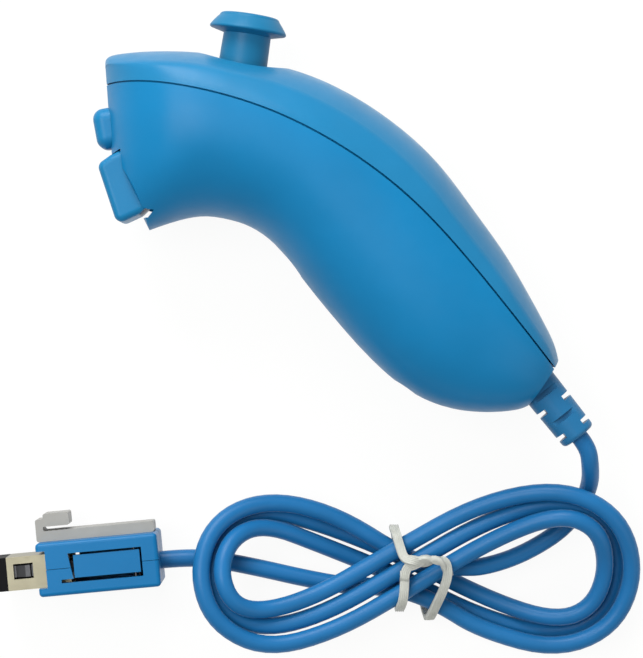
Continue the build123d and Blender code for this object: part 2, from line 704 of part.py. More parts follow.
# Stick shaft, with the cross hub that turns on the yoke's pin
with BuildPart() as stick_shaft:
    with BuildSketch(pivot_plane):
        Circle(SHAFT_RADIUS)
    extrude(amount=CAP_FLOOR)
    with BuildSketch(pivot_plane):
        Circle(FOOT_RADIUS)
    extrude(amount=-FOOT_LENGTH)
    with BuildSketch(Plane(origin=stick_pivot)):
        Circle(HUB_RADIUS)
    extrude(amount=HUB_HALF, both=True)
    with BuildSketch(Plane(origin=stick_pivot)):
        Circle(CROSS_PIN_RADIUS + FIT)
    extrude(amount=YOKE_HALF_SIDE, both=True, mode=Mode.SUBTRACT)
finish(stick_shaft, "stick_shaft")

with BuildPart() as stick_cross_pin:
    with BuildSketch(Plane(origin=stick_pivot)):
        Circle(CROSS_PIN_RADIUS)
    extrude(amount=YOKE_HALF_SIDE, both=True)
finish(stick_cross_pin, "stick_cross_pin")

# Yoke, turning on an axle along the handle
with BuildPart() as stick_yoke:
    with BuildSketch(pivot_plane):
        RectangleRounded(2 * YOKE_HALF, 2 * YOKE_HALF_SIDE, YOKE_ROUND)
        Rectangle(2 * YOKE_SLOT, 2 * (HUB_HALF + YOKE_PLAY), mode=Mode.SUBTRACT)
    extrude(amount=YOKE_HALF_HIGH, both=True)
    for end, reach in ((-1, MODULE_HALF), (1, MODULE_HALF + AXLE_IN_POT)):
        with BuildSketch(Plane(origin=stick_pivot, z_dir=STICK_ACROSS * end)):
            Circle(AXLE_RADIUS)
        extrude(amount=reach)
    with BuildSketch(pivot_plane):
        Rectangle(2 * YOKE_SLOT, 2 * (HUB_HALF + YOKE_PLAY))
    extrude(amount=YOKE_HALF_HIGH, both=True, mode=Mode.SUBTRACT)
    with BuildSketch(Plane(origin=stick_pivot)):
        Circle(CROSS_PIN_RADIUS)
    extrude(amount=YOKE_HALF_SIDE, both=True, mode=Mode.SUBTRACT)
finish(stick_yoke, "stick_yoke")

# Arc lever over the yoke, turning on an axle across the handle
rail_angle = asin(ARC_RAIL / ARC_OUT)
with BuildPart() as stick_arc_lever:
    with BuildSketch(axial_plane.offset(-ARC_SIDE)):
        with BuildLine():
            ThreePointArc((-ARC_OUT * sin(rail_angle), ARC_OUT * cos(rail_angle)), (0, ARC_OUT),
                          (ARC_OUT * sin(rail_angle), ARC_OUT * cos(rail_angle)))
            Line((ARC_OUT * sin(rail_angle), ARC_OUT * cos(rail_angle)),
                 (ARC_IN * sin(rail_angle), ARC_IN * cos(rail_angle)))
            ThreePointArc((ARC_IN * sin(rail_angle), ARC_IN * cos(rail_angle)), (0, ARC_IN),
                          (-ARC_IN * sin(rail_angle), ARC_IN * cos(rail_angle)))
            Line((-ARC_IN * sin(rail_angle), ARC_IN * cos(rail_angle)),
                 (-ARC_OUT * sin(rail_angle), ARC_OUT * cos(rail_angle)))
        make_face()
    extrude(amount=2 * ARC_SIDE)
    # end cheeks with their stub axles
    for end, reach in ((-1, MODULE_HALF), (1, MODULE_HALF + AXLE_IN_POT)):
        cheek = Plane(origin=stick_pivot + Vector(0, 0, end * ARC_SIDE), x_dir=STICK_ACROSS * end,
                      z_dir=(0, 0, end))
        with BuildSketch(cheek):
            with BuildLine():
                ThreePointArc((-AXLE_RADIUS - ARC_EYE, 0), (0, -AXLE_RADIUS - ARC_EYE),
                              (AXLE_RADIUS + ARC_EYE, 0))
                Line((AXLE_RADIUS + ARC_EYE, 0),
                     (ARC_IN * sin(rail_angle), ARC_IN * cos(rail_angle)))
                ThreePointArc((ARC_IN * sin(rail_angle), ARC_IN * cos(rail_angle)), (0, ARC_IN),
                              (-ARC_IN * sin(rail_angle), ARC_IN * cos(rail_angle)))
                Line((-ARC_IN * sin(rail_angle), ARC_IN * cos(rail_angle)),
                     (-AXLE_RADIUS - ARC_EYE, 0))
            make_face()
        extrude(amount=-ARC_CHEEK)
        with BuildSketch(cheek):
            Circle(AXLE_RADIUS)
        extrude(amount=reach - ARC_SIDE)
    with BuildSketch(pivot_plane):
        Rectangle(2 * (SHAFT_RADIUS + ARC_PLAY), 2 * ARC_SLOT)
    extrude(amount=ARC_OUT, mode=Mode.SUBTRACT)
finish(stick_arc_lever, "stick_arc_lever")

# Metal frame round the mechanism, open below
with BuildPart() as stick_module_frame:
    with BuildSketch(pivot_plane.offset(MODULE_BOTTOM)):
        Rectangle(2 * MODULE_HALF, 2 * MODULE_HALF)
    extrude(amount=MODULE_TOP - MODULE_BOTTOM)
    with BuildSketch(pivot_plane.offset(MODULE_BOTTOM)):
        Rectangle(2 * (MODULE_HALF - MODULE_WALL), 2 * (MODULE_HALF - MODULE_WALL))
    extrude(amount=MODULE_TOP - MODULE_BOTTOM - MODULE_LID, mode=Mode.SUBTRACT)
    with BuildSketch(pivot_plane):
        Circle(MODULE_HOLE)
    extrude(amount=MODULE_TOP, mode=Mode.SUBTRACT)
    for way in (STICK_ACROSS, Vector(0, 0, 1)):
        with BuildSketch(Plane(origin=stick_pivot, z_dir=way)):
            Circle(AXLE_RADIUS + FIT)
        extrude(amount=MODULE_HALF, both=True, mode=Mode.SUBTRACT)
finish(stick_module_frame, "stick_module_frame")

with BuildPart() as stick_module_base:
    with BuildSketch(pivot_plane.offset(board_top)):
        Rectangle(2 * MODULE_HALF, 2 * MODULE_HALF)
    extrude(amount=BASE_THICK)
    with BuildSketch(pivot_plane.offset(MODULE_BOTTOM)):
        Circle(SPRING_RADIUS - SPRING_WIRE)
    extrude(amount=SEAT_HIGH)
finish(stick_module_base, "stick_module_base")

# Centring spring under the cup
spring_points = []
spring_headings = []
for quarter in range(4 * SPRING_TURNS + 1):
    angle = quarter * pi / 2
    outward = STICK_ACROSS * cos(angle) + Vector(0, 0, 1) * sin(angle)
    rise = SPRING_RISE * quarter / (4 * SPRING_TURNS)
    middle = stick_pivot + STICK_AXIS * (MODULE_BOTTOM + SPRING_WIRE / 2 + rise)
    spring_points.append(middle + outward * SPRING_RADIUS)
    along = Vector(0, 0, 1) * cos(angle) - STICK_ACROSS * sin(angle)
    spring_headings.append(along + STICK_AXIS * (SPRING_RISE / (2 * pi * SPRING_RADIUS * SPRING_TURNS)))
spring_points.insert(0, spring_points[0] - spring_headings[0].normalized() * SPRING_WIRE)
spring_points.append(spring_points[-1] + spring_headings[-1].normalized() * SPRING_WIRE)
with BuildPart() as stick_return_spring:
    with BuildLine() as spring_route:
        arc_route(spring_points, spring_headings)
    with BuildSketch(Plane(origin=spring_points[0], z_dir=spring_headings[0])):
        Circle(SPRING_WIRE / 2)
    sweep(path=spring_route.wires()[0])
finish(stick_return_spring, "stick_return_spring")

with BuildPart() as stick_spring_cup:
    with BuildSketch(pivot_plane.offset(CUP_LOW)):
        Circle(CUP_RADIUS)
    extrude(amount=CUP_THICK)
    fillet(stick_spring_cup.edges(), CUP_THICK / 4)
finish(stick_spring_cup, "stick_spring_cup")

# Position sensors on two sides of the frame, with a bore for each axle's end
for name, way, height_way in (("position_sensor_long", STICK_ACROSS, STICK_AXIS),
                              ("position_sensor_side", Vector(0, 0, 1), STICK_AXIS)):
    face = Plane(origin=stick_pivot + way * MODULE_HALF, x_dir=height_way, z_dir=way)
    with BuildPart() as sensor:
        with BuildSketch(face):
            with Locations(((POT_TOP + POT_BOTTOM) / 2, 0)):
                Rectangle(POT_TOP - POT_BOTTOM, 2 * POT_HALF)
            Circle(AXLE_RADIUS + POT_RIM)
        extrude(amount=POT_DEPTH)
        with BuildSketch(face):
            Circle(AXLE_RADIUS + FIT)
        extrude(amount=AXLE_IN_POT + FIT, mode=Mode.SUBTRACT)
    finish(sensor, name)

# Small upper button, with a flange that keeps it in the shell and a stem towards its switch
switch_depth = (BUTTON_FACE.X - SWITCH_BOARD_X) / BUTTON_OUT.X
stem_lean = STEM_HALF * BUTTON_OUT.Y / BUTTON_OUT.X
with BuildPart() as small_button:
    with BuildSketch(button_plane.offset(-FLANGE_DEPTH - FLANGE_THICK)):
        RectangleRounded(BUTTON_WIDE, BUTTON_TALL, BUTTON_CORNER)
    extrude(amount=FLANGE_DEPTH + FLANGE_THICK + BUTTON_PROUD)
    fillet(small_button.faces().sort_by(Axis.X)[0].edges(), BUTTON_ROUND)
    with BuildSketch(button_plane.offset(-FLANGE_DEPTH - FLANGE_THICK)):
        with Locations((0, FLANGE_SIDE / 2)):
            Rectangle(BUTTON_WIDE + 2 * FLANGE_SIDE, BUTTON_TALL - FLANGE_SIDE)
    extrude(amount=FLANGE_THICK)
    with BuildSketch(button_plane.offset(-FLANGE_DEPTH - FLANGE_THICK)):
        Circle(STEM_HALF)
    extrude(amount=FLANGE_DEPTH + FLANGE_THICK - switch_depth + DOME_HIGH + DOME_GAP + stem_lean)
finish(small_button, "small_button")

# Lower trigger, hinged on a pin across its top
with BuildPart() as trigger:
    with BuildSketch(Plane.XY.offset(MID)) as outline:
        Polygon(*TRIGGER_OUTLINE, align=None)
        tips = outline.vertices()
        fillet([tips.sort_by(Axis.X)[0], tips.sort_by(Axis.Y)[0]], TRIGGER_ROUND)
    extrude(amount=TRIGGER_HALF, both=True)
    front = trigger.edges().filter_by(lambda edge: edge.center().X < TRIGGER_FRONT)
    fillet(front.filter_by(lambda edge: abs(edge.center().Z - MID) > TRIGGER_HALF - FIT), TRIGGER_EDGE)
    with BuildSketch(pin_plane):
        Circle(TRIGGER_HUB)
    extrude(amount=TRIGGER_HALF, both=True)
    with BuildSketch(Plane.XY.offset(MID)):
        Polygon(*[chin_at(down, deep) for down, deep in TRIGGER_STOP], align=None)
    extrude(amount=TRIGGER_HALF + TRIGGER_STOP_SIDE, both=True)
    with BuildSketch(Plane(origin=(TRIGGER_NUB_X, TRIGGER_SWITCH_Y, MID), z_dir=(1, 0, 0))):
        Circle(STEM_HALF)
    extrude(amount=SWITCH_BOARD_X - DOME_HIGH - DOME_GAP - TRIGGER_NUB_X)
    with BuildSketch(pin_plane):
        Circle(PIN_RADIUS + FIT)
    extrude(amount=TRIGGER_HALF, both=True, mode=Mode.SUBTRACT)
finish(trigger, "trigger")

with BuildPart() as trigger_pin:
    with BuildSketch(pin_plane):
        Circle(PIN_RADIUS)
    extrude(amount=PIN_HALF, both=True)
finish(trigger_pin, "trigger_pin")

# Board behind the buttons, held in the lower shell's slots, and its two rubber domes
button_switch_y = (BUTTON_FACE - BUTTON_OUT * switch_depth).Y
with BuildPart() as button_board:
    with BuildSketch(Plane.XY.offset(MID)):
        with Locations((SWITCH_BOARD_X + BOARD_THICK / 2, (SWITCH_BOARD_LOW + SWITCH_BOARD_HIGH) / 2)):
            Rectangle(BOARD_THICK, SWITCH_BOARD_HIGH - SWITCH_BOARD_LOW)
    extrude(amount=SWITCH_BOARD_HALF, both=True)
finish(button_board, "button_board")

for name, height in (("small_button_dome", button_switch_y), ("trigger_dome", TRIGGER_SWITCH_Y)):
    seat = Plane(origin=(SWITCH_BOARD_X, height, MID), z_dir=(-1, 0, 0))
    with BuildPart() as dome:
        with BuildSketch(seat):
            Circle(DOME_BASE)
        with BuildSketch(seat.offset(DOME_HIGH)):
            Circle(STEM_HALF)
        loft()
    finish(dome, name)

# Main board with what it carries
with BuildPart() as main_board:
    with BuildSketch(board_frame((BOARD_START + BOARD_END) / 2, 0, board_low)):
        RectangleRounded(BOARD_END - BOARD_START, 2 * BOARD_HALF, BOARD_CORNER)
    extrude(amount=BOARD_THICK)
    with BuildSketch(board_frame(screw_x, 0, board_low)):
        Circle(UPPER_BOSS_RADIUS + LOOSE)
    extrude(amount=BOARD_THICK, mode=Mode.SUBTRACT)
    for x, side in BOARD_SCREWS:
        with BuildSketch(board_frame(x, side, board_low)):
            Circle(BOARD_SCREW_RADIUS + LOOSE)
        extrude(amount=BOARD_THICK, mode=Mode.SUBTRACT)
finish(main_board, "main_circuit_board")

with BuildPart() as board_screws:
    for x, side in BOARD_SCREWS:
        with BuildSketch(board_frame(x, side, board_top)):
            Circle(BOARD_SCREW_HEAD)
        extrude(amount=BOARD_SCREW_HEAD / 2)
        with BuildSketch(board_frame(x, side, board_top)):
            Circle(BOARD_SCREW_RADIUS)
        extrude(amount=-BOARD_THICK - BOARD_SCREW_LENGTH)
finish(board_screws, "board_screws")

for name, (x, side, long, wide, tall) in CHIPS.items():
    with BuildPart() as chip:
        with BuildSketch(board_frame(x, side, board_top)):
            Rectangle(long, wide)
        extrude(amount=tall)
        chamfer(chip.edges().group_by(SortBy.LENGTH)[-1], CHIP_EDGE)
    finish(chip, name)

with BuildPart() as board_small_parts:
    with BuildSketch(board_frame(SMALL_PARTS[0], SMALL_PARTS[1], board_top)):
        with GridLocations(1.5 * SMALL_PART[0], 2.5 * SMALL_PART[1], 4, 2):
            Rectangle(SMALL_PART[0], SMALL_PART[1])
    extrude(amount=SMALL_PART[2])
finish(board_small_parts, "board_small_parts")

# Pins between the two boards, cut square to the button board
with BuildPart() as board_link_pins:
    with BuildSketch(Plane(origin=board_frame(BOARD_START - 1, 0, board_top + LINK_PIN).origin,
                           x_dir=(0, 0, 1), z_dir=STICK_ACROSS)):
        with GridLocations(LINK_PITCH, 1, LINK_PINS, 1):
            Circle(LINK_PIN)
    extrude(amount=LINK_LENGTH)
    with BuildSketch(Plane.XY.offset(MID)):
        with Locations((SWITCH_BOARD_X + BOARD_THICK - LINK_LENGTH / 2, SWITCH_BOARD_HIGH / 2)):
            Rectangle(LINK_LENGTH, 2 * SWITCH_BOARD_HIGH)
    extrude(amount=SWITCH_BOARD_HALF, both=True, mode=Mode.SUBTRACT)
finish(board_link_pins, "board_link_pins")

# Strain relief: its slots cut in from two sides by turns
with BuildPart() as strain_relief:
    with BuildSketch(relief_plane):
        Circle(RELIEF_RADIUS)
    with BuildSketch(relief_plane.offset(RELIEF_LENGTH)):
        Circle(RELIEF_END_RADIUS)
    loft()
    fillet(strain_relief.faces().sort_by(Axis(RELIEF_POINT, RELIEF_AXIS))[-1].edges(), RELIEF_ROUND)
    with BuildSketch(relief_plane):
        Circle(RELIEF_RADIUS)
    extrude(amount=-RELIEF_INSIDE)
    with BuildSketch(relief_plane.offset(-RELIEF_INSIDE)):
        Circle(RELIEF_FLANGE_RADIUS)
    extrude(amount=-RELIEF_FLANGE)
    for number in range(RELIEF_SLOTS):
        start = RELIEF_FIRST + number * RELIEF_PITCH - RELIEF_SLOT / 2
        with BuildSketch(relief_plane.offset(start)):
            with Locations(Rotation(0, 0, 90 * (number % 2))):
                Rectangle(4 * RELIEF_RADIUS, 4 * RELIEF_RADIUS)
                Rectangle(2 * RELIEF_CORES[number % 2], 4 * RELIEF_RADIUS, mode=Mode.SUBTRACT)
        extrude(amount=RELIEF_SLOT, mode=Mode.SUBTRACT)
finish(strain_relief, "strain_relief")

# Cable inside the handle, from the strain relief, and its four wires to the board
cable_start = RELIEF_POINT - RELIEF_AXIS * (RELIEF_INSIDE + RELIEF_FLANGE)
cable_end = cable_start - RELIEF_AXIS * INNER_CABLE
with BuildPart() as inner_cable:
    with BuildSketch(Plane(origin=cable_start, z_dir=-RELIEF_AXIS)):
        Circle(CORD / 2)
    extrude(amount=INNER_CABLE)
finish(inner_cable, "inner_cable")

plug_x, plug_side, plug_long, plug_wide, plug_tall = CHIPS["wire_connector"]
socket = board_frame(plug_x + plug_long / 2, plug_side, board_top + plug_tall / 2).origin
bundle_side = RELIEF_AXIS.cross(Vector(0, 0, 1)) * WIRE_BUNDLE
with BuildPart() as inner_wires:
    for number in range(WIRES):
        across = (number - (WIRES - 1) / 2) * WIRE_PITCH
        spread = Vector(0, 0, across)
        turned = bundle_side * (number % 2 - 0.5) + Vector(0, 0, WIRE_BUNDLE * (number // 2 - 0.5))
        with BuildLine() as route:
            FilletPolyline(
                cable_end + turned,
                cable_end + turned - RELIEF_AXIS * WIRE_STRAIGHT,
                WIRE_BENDS[0] + spread,
                WIRE_BENDS[1] + spread,
                socket + spread + STICK_ACROSS * WIRE_STRAIGHT,
                socket + spread,
                radius=WIRE_TURN,
            )
        with BuildSketch(Plane(origin=route.line @ 0, z_dir=route.line % 0)):
            Circle(WIRE_RADIUS)
        sweep(path=route.line)
finish(inner_wires, "inner_wires")

# Plug housing, in two halves that meet along its middle
plug_plane = Plane(origin=PLUG, x_dir=PLUG_BACK, z_dir=(0, 0, 1))
plug_middle = PLUG + Vector(0, 0, PLUG_WIDE / 2)
# In the plug's side plane, x runs towards the cord and y is the height from the plug's middle
plug_side = Plane(origin=plug_middle, x_dir=PLUG_BACK, z_dir=PLUG_BACK.cross(Vector(0, 0, 1)))
plug_back_face = Plane(origin=plug_middle + PLUG_BACK * (PLUG_LENGTH / 2), z_dir=PLUG_BACK, x_dir=(0, 0, 1))
inside_front = COLLAR + PLUG_WALL - PLUG_LENGTH / 2
inside_back = PLUG_LENGTH / 2 - PLUG_WALL
hook_side = -plug_side.z_dir
cord_exit = plug_back_face.origin + hook_side * PLUG_CORD_SIDE


def shroud_block(front, back, slimmer):
    """Box in the plug with the shroud's outline, made slimmer all round."""
    with BuildPart() as block:
        with BuildSketch(plug_plane.offset(PLUG_WIDE / 2)):
            with Locations(((front + back) / 2, SHROUD_SIDE)):
                Rectangle(back - front, SHROUD_THICK - 2 * slimmer)
        extrude(amount=SHROUD_WIDE / 2 - slimmer, both=True)
    return block.part


with BuildPart() as plug_form:
    with BuildSketch(plug_plane):
        Rectangle(PLUG_LENGTH, PLUG_THICK)
    extrude(amount=PLUG_WIDE)
    fillet(plug_form.edges(), PLUG_ROUND)
    with BuildSketch(plug_plane):
        with Locations((-PLUG_LENGTH / 2, 0)):
            Rectangle(2 * COLLAR, 2 * COLLAR_HALF)
        Polygon(*WINDOW, align=None)
    extrude(amount=PLUG_WIDE, mode=Mode.SUBTRACT)
    with BuildSketch(plug_plane.offset(PLUG_WALL)):
        with Locations(((inside_front + inside_back) / 2, 0)):
            Rectangle(inside_back - inside_front, PLUG_THICK - 2 * PLUG_WALL)
    extrude(amount=PLUG_WIDE - 2 * PLUG_WALL, mode=Mode.SUBTRACT)
    add(shroud_block(SHROUD_FRONT, SHROUD_BACK, 0), mode=Mode.SUBTRACT)
    with BuildSketch(Plane(origin=cord_exit, z_dir=-PLUG_BACK)):
        Circle((CORD + FIT) / 2)
    extrude(amount=PLUG_CORD_IN, mode=Mode.SUBTRACT)
    for end in (-1, 1):
        with BuildSketch(plug_side):
            with Locations((LATCH_PIVOT[0], end * LATCH_PIVOT[1])):
                Circle(LATCH_PIN)
        extrude(amount=LATCH_PIN_HALF, both=True, mode=Mode.SUBTRACT)
    for x in HOOK_PEGS:
        with BuildSketch(plug_side.offset(-PLUG_THICK / 2)):
            with Locations((x, 0)):
                Circle(HOOK_PEG)
        extrude(amount=HOOK_PEG, mode=Mode.SUBTRACT)

for name, end in (("plug_housing_hook_side", 1), ("plug_housing_far_side", -1)):
    with BuildPart() as half:
        with BuildSketch(plug_plane):
            with Locations((0, end * (PLUG_THICK / 2 + PLUG_SEAM))):
                Rectangle(PLUG_LENGTH, PLUG_THICK)
        extrude(amount=PLUG_WIDE)
        add(plug_form.part, mode=Mode.INTERSECT)
    finish(half, name)

# Latches in the two narrow sides: a button plate with its hinge barrel, a metal arm and a pin
for name, end in (("upper", 1), ("lower", -1)):
    with BuildPart() as latch:
        with BuildSketch(plug_side.offset(-LATCH_SIDE)):
            with Locations(((LATCH_FRONT + LATCH_BACK) / 2, end * (LATCH_TOP + LATCH_LOW) / 2)):
                Rectangle(LATCH_BACK - LATCH_FRONT, LATCH_TOP - LATCH_LOW)
        extrude(amount=LATCH_HALF, both=True)
        with BuildSketch(plug_side.offset(-LATCH_SIDE)):
            with Locations((LATCH_PIVOT[0], end * LATCH_PIVOT[1])):
                Circle(LATCH_BARREL)
        extrude(amount=LATCH_HALF, both=True)
        with BuildSketch(plug_side):
            with Locations((LATCH_PIVOT[0], end * LATCH_PIVOT[1])):
                Circle(LATCH_PIN + FIT)
        extrude(amount=LATCH_PIN_HALF, both=True, mode=Mode.SUBTRACT)
    finish(latch, f"plug_{name}_latch_button")

    with BuildPart() as arm:
        with BuildSketch(plug_side):
            Polygon(*[(x, end * y) for x, y in ARM], align=None)
        extrude(amount=ARM_HALF, both=True)
    finish(arm, f"plug_{name}_latch_arm")

    with BuildPart() as latch_pin:
        with BuildSketch(plug_side):
            with Locations((LATCH_PIVOT[0], end * LATCH_PIVOT[1])):
                Circle(LATCH_PIN)
        extrude(amount=LATCH_PIN_HALF, both=True)
    finish(latch_pin, f"plug_{name}_latch_pin")

with BuildPart() as plug_shroud:
    add(shroud_block(SHROUD_FRONT, SHROUD_BACK, 0))
    add(shroud_block(SHROUD_FRONT, SHROUD_BACK, SHROUD_WALL), mode=Mode.SUBTRACT)
    with BuildSketch(plug_plane):
        with Locations(((SHROUD_WINDOW[0] + SHROUD_WINDOW[1]) / 2, 0)):
            Rectangle(SHROUD_WINDOW[1] - SHROUD_WINDOW[0], 2 * SHROUD_WINDOW_HALF)
    extrude(amount=PLUG_WIDE, mode=Mode.SUBTRACT)
finish(plug_shroud, "plug_shroud")

# Black insulator, with its slot and the contacts along one side of it
with BuildPart() as plug_insulator:
    add(shroud_block(TIP_FRONT, SHROUD_FRONT, 0))
    with BuildSketch(plug_plane.offset(PLUG_WIDE / 2)):
        with Locations(((SHROUD_FRONT + SHROUD_BACK) / 2, SHROUD_SIDE)):
            Rectangle(SHROUD_BACK - SHROUD_FRONT, 2 * TIP_THIN)
    extrude(amount=TIP_CORE, both=True)
    with BuildSketch(plug_plane.offset(PLUG_WIDE / 2)):
        with Locations(((TIP_FRONT + TIP_SLOT_BACK) / 2, SHROUD_SIDE)):
            Rectangle(TIP_SLOT_BACK - TIP_FRONT, 2 * TIP_SLOT)
    extrude(amount=TIP_CORE - TIP_SLOT / 2, both=True, mode=Mode.SUBTRACT)
finish(plug_insulator, "plug_insulator")

with BuildPart() as plug_contacts:
    with BuildSketch(plug_side.offset(TIP_SLOT - SHROUD_SIDE)):
        with Locations(((TIP_FRONT + TIP_SLOT_BACK) / 2, 0)):
            with GridLocations(1, CONTACT_PITCH, 1, CONTACTS):
                Rectangle(TIP_SLOT_BACK - TIP_FRONT - 1, CONTACT_WIDE)
    extrude(amount=-CONTACT_THICK)
finish(plug_contacts, "plug_contacts")

# Clear hook for the strap, on one broad side
with BuildPart() as plug_strap_hook:
    with BuildSketch(plug_plane.offset(PLUG_WIDE / 2)) as outline:
        Polygon(*HOOK_OUTLINE, align=None)
        corners = outline.vertices()
        outer = corners.filter_by(lambda at: (at.center() - PLUG).dot(hook_side) > PLUG_THICK / 2)
        fillet(outer, HOOK_ROUND)
    extrude(amount=HOOK_HALF, both=True)
    for x in HOOK_PEGS:
        with BuildSketch(plug_side.offset(-PLUG_THICK / 2)):
            with Locations((x, 0)):
                Circle(HOOK_PEG)
        extrude(amount=HOOK_PEG)
finish(plug_strap_hook, "plug_strap_hook")

with BuildPart() as plug_cord_end:
    with BuildSketch(Plane(origin=cord_exit, z_dir=-PLUG_BACK)):
        Circle(CORD / 2)
    extrude(amount=PLUG_CORD_IN)
finish(plug_cord_end, "plug_cord_end")


def cord_tube(points, name):
    """Free stretch of cord: straight runs joined by arcs as large as the runs allow."""
    runs = [after - before for before, after in zip(points, points[1:])]
    radii = [
        BEND * min(run.length, further.length) / tan(radians(run.get_angle(further)) / 2)
        for run, further in zip(runs, runs[1:])
    ]
    with BuildPart() as tube:
        with BuildLine() as route:
            FilletPolyline(*points, radius=radii)
        with BuildSketch(Plane(origin=points[0], z_dir=runs[0])):
            Circle(CORD / 2)
        sweep(path=route.wires()[0])
    length = route.wires()[0].length
    share = tube.part.volume / (pi * (CORD / 2) ** 2 * length)
    print(f"{name}: length {length:.1f}, radii", *[f"{radius:.1f}" for radius in radii],
          f"volume over section times length {share:.4f}")
    finish(tube, name)


relief_end = RELIEF_POINT + RELIEF_AXIS * RELIEF_LENGTH
cord_tube(
    [relief_end, relief_end + RELIEF_AXIS * LEAD_START]
    + [Vector(*point) for point in LEAD_ROUTE]
    + [Vector(*HANK_IN[0])],
    "cord_lead",
)
cord_tube(
    [Vector(*HANK_OUT[-1])]
    + [Vector(*point) for point in PLUG_LEAD_ROUTE]
    + [cord_exit + PLUG_BACK * PLUG_LEAD_END, cord_exit],
    "cord_plug_lead",
)


def hank_point(number):
    """Centre of the cord at one step of the hank, on a figure of eight round the waist."""
    loop, step = divmod(number, STEPS)
    reach, above, below = HANK_SIDES[loop % 2]
    rise = above if 2 * step < STEPS else below
    angle = pi + number * pi / STEPS
    aside, height = HANK_ROWS[loop][step]
    travel = Vector(reach * cos(angle), rise * cos(2 * angle), 0).normalized()
    middle = WAIST + Vector(reach * sin(angle), rise * sin(angle) * cos(angle), height)
    return middle + Vector(0, 0, 1).cross(travel) * aside


hank_points = [Vector(*point) for point in HANK_IN]
hank_points += [hank_point(number) for number in range(STEPS * len(HANK_ROWS))]
hank_points += [Vector(*point) for point in HANK_OUT]
turns = [after - before for before, after in zip(hank_points[1:], hank_points[3:-1])]
lead_in = hank_points[1] - hank_points[0]
lead_out = hank_points[-1] - hank_points[-2]
with BuildPart() as cord_hank:
    with BuildLine() as hank_route:
        arc_route(hank_points, [lead_in] + turns + [lead_out])
    with BuildSketch(Plane(origin=hank_points[0], z_dir=lead_in)):
        Circle(CORD / 2)
    sweep(path=hank_route.wires()[0])
finish(cord_hank, "cord_hank")

# The least gap of the hank to itself, on points along its arcs
samples = []
travelled = 0.0
for edge in hank_route.wires()[0].edges():
    for part_way in range(CHECKS):
        samples.append((travelled + edge.length * part_way / CHECKS, edge @ (part_way / CHECKS)))
    travelled += edge.length
least = min(
    (other - point).length
    for place, (at, point) in enumerate(samples)
    for away, other in samples[place:]
    if away - at > APART
)
print(f"cord_hank: length {travelled:.1f}, least gap {least - CORD:.2f}, shortest radius",
      f"{min(edge.radius for edge in hank_route.wires()[0].edges().filter_by(GeomType.CIRCLE)):.1f}",
      f"volume over section times length {cord_hank.part.volume / (pi * (CORD / 2) ** 2 * travelled):.4f}")

# Twist tie round the waist of the hank
with BuildPart() as twist_tie:
    with BuildSketch(Plane(origin=(TIE_X, 0, 0), x_dir=(0, 1, 0), z_dir=(1, 0, 0))):
        Polygon(*TIE_INSIDE, align=None)
        offset(amount=TIE_THICK)
        Polygon(*TIE_INSIDE, align=None, mode=Mode.SUBTRACT)
    extrude(amount=TIE_HALF, both=True)
    # second band: over the top, down one side and back below
    with BuildSketch(Plane(origin=(TIE_SECOND_X, 0, 0), x_dir=(0, 1, 0), z_dir=(1, 0, 0))):
        Polygon(*TIE_SECOND, align=None)
    extrude(amount=TIE_HALF, both=True)
    with BuildSketch():
        with Locations(((TIE_X + TIE_SECOND_X) / 2, TIE_LINK_Y)):
            Rectangle(TIE_SECOND_X - TIE_X, 2 * TIE_HALF)
    extrude(amount=TIE_LINK_TOP)
    with BuildSketch(Plane(origin=(TIE_X - TIE_HALF, TIE_TWIST[0], TIE_TWIST[1]), z_dir=(1, 0, 0))):
        Circle(TIE_HALF)
    extrude(amount=TIE_SECOND_X - TIE_X + 2 * TIE_HALF)
finish(twist_tie, "twist_tie")
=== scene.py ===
"""Looks of the one-handed motion game controller: camera, cord, tie, materials and light.

Lengths are in millimetres, apart from those of the view, the floor and the lamps, in metres."""
import json
from math import cos, pi, sin

import bpy
from mathutils import Matrix, Vector


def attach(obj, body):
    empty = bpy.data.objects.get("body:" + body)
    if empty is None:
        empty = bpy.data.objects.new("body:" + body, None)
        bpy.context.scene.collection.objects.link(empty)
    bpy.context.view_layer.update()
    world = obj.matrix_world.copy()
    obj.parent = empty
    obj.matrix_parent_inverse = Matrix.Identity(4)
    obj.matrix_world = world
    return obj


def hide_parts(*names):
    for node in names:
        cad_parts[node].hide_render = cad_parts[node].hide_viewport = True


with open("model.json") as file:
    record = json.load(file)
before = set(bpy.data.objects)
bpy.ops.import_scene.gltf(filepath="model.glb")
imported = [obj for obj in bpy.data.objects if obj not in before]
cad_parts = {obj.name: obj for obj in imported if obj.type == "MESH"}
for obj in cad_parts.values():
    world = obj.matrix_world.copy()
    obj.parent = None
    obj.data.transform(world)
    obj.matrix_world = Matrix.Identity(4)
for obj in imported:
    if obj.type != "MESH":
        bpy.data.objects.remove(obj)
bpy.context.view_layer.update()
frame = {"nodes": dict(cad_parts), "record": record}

MM = 0.001

# The photograph's view: straight down, over the middle of the picture
VIEW_CENTRE = Vector((-4.62, -20.79, 19.1)) * MM
VIEW_DISTANCE = 0.700
VIEW_HEIGHT = 136.9 * MM  # what the picture's long side shows at the centre
SENSOR = 36.0

# Cord, with the route's points as in the part's source
CORD = 3.7
CURVE_ORDER = 3
CURVE_STEPS = 6  # resolution along a curve and round a tube
RELIEF_POINT = Vector((40.83, -32.97, 19.1))
RELIEF_AXIS = Vector((0.6248, -0.7808, 0)).normalized()
RELIEF_LENGTH = 13.0
LEAD_START = 3.0
LEAD_ROUTE = (
    (51.5, -49.2, 17.0),
    (51.9, -53.2, 12.0),
    (50.4, -57.8, 8.1),
    (46.4, -63.4, 6.8),
    (37.8, -68.6, 6.9),
    (29.6, -71.2, 7.25),
)
WAIST = Vector((12.4, -71.3, 0))
